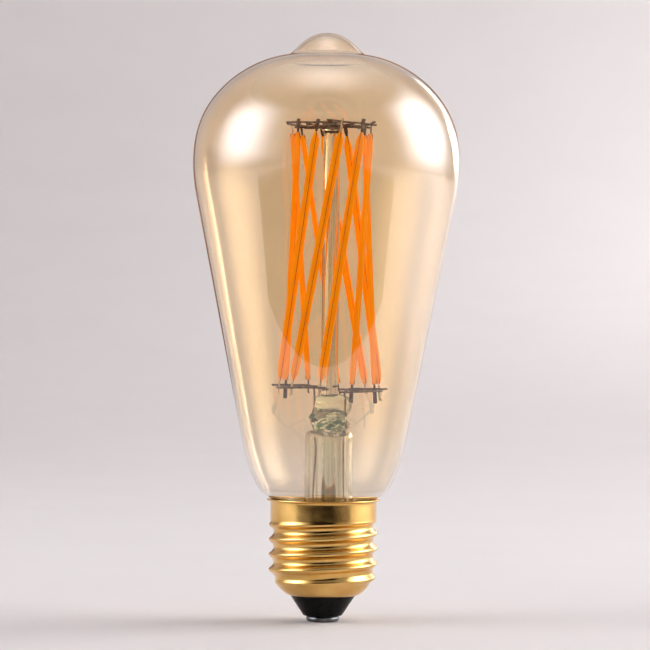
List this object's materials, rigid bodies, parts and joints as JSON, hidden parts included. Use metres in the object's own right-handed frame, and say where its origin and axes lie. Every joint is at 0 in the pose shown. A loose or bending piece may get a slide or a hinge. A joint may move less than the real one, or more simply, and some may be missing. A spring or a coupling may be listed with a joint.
{
  "type": "filament-style light bulb with Edison screw cap",
  "caption": "Amber glass filament-style LED light bulb with a twisted cage of orange filaments on a glass stem and a brass Edison screw cap.",
  "frame": {"origin": "middle of the centre contact's end face, on the lamp's axis", "axes": "+Z along the lamp's axis from the contact to the glass tip; -Y towards the viewer in the picture, +X to the viewer's right; the stem stands off the axis towards +X"},
  "size_m": [0.064, 0.064, 0.1412],
  "materials": {
    "amber_glass": "glossy, amber tinted",
    "clear_glass": "glossy, clear",
    "support_wire": "dull, heat darkened",
    "seal_copper": "satin, copper clad",
    "lead_copper": "satin, tinned copper",
    "filament_gel": "satin phosphor silicone",
    "filament_carrier": "matte",
    "led_crystal": "satin",
    "cap_brass": "polished",
    "cap_insulator": "glossy black glass",
    "contact_metal": "satin solder",
    "cement": "matte",
    "board_laminate": "satin solder mask",
    "black_moulding": "matte",
    "capacitor_sleeve": "glossy sleeve",
    "ferrite": "matte",
    "resistor_glaze": "satin",
    "shield_can": "satin tinned steel",
    "antenna_copper": "satin, gold plated copper",
    "lead_insulation": "satin sleeve"
  },
  "bodies": {
    "root": {"glass_envelope": "amber_glass", "neck_seal": "clear_glass", "stem_flare": "clear_glass", "stem_pinch": "clear_glass", "exhaust_tube": "clear_glass", "support_column": "clear_glass", "column_button": "clear_glass", "top_spokes": "support_wire", "top_ring_wire_1": "support_wire", "top_ring_wire_2": "support_wire", "top_ring_wire_3": "support_wire", "top_ring_wire_4": "support_wire", "top_ring_wire_5": "support_wire", "left_half_ring": "support_wire", "right_half_ring": "support_wire", "left_lead_arm": "support_wire", "right_lead_arm": "support_wire", "left_seal_wire": "seal_copper", "right_seal_wire": "seal_copper", "left_outer_lead": "lead_copper", "right_outer_lead": "lead_copper", "led_filament_1": "filament_gel", "led_filament_2": "filament_gel", "led_filament_3": "filament_gel", "led_filament_4": "filament_gel", "led_filament_5": "filament_gel", "led_filament_6": "filament_gel", "led_filament_7": "filament_gel", "led_filament_8": "filament_gel", "led_filament_9": "filament_gel", "led_filament_10": "filament_gel", "filament_strip_1": "filament_carrier", "filament_strip_2": "filament_carrier", "filament_strip_3": "filament_carrier", "filament_strip_4": "filament_carrier", "filament_strip_5": "filament_carrier", "filament_strip_6": "filament_carrier", "filament_strip_7": "filament_carrier", "filament_strip_8": "filament_carrier", "filament_strip_9": "filament_carrier", "filament_strip_10": "filament_carrier", "lower_tabs": "support_wire", "upper_tabs": "support_wire", "led_chips": "led_crystal", "screw_shell": "cap_brass", "insulator": "cap_insulator", "centre_contact": "contact_metal", "basing_cement": "cement", "driver_board": "board_laminate", "bridge_rectifier": "black_moulding", "driver_chip": "black_moulding", "smoothing_capacitor": "capacitor_sleeve", "driver_inductor": "ferrite", "fusible_resistor": "resistor_glaze", "radio_module": "shield_can", "radio_antenna": "antenna_copper", "shell_lead": "lead_insulation", "contact_lead": "lead_insulation"}
  },
  "joints": []
}
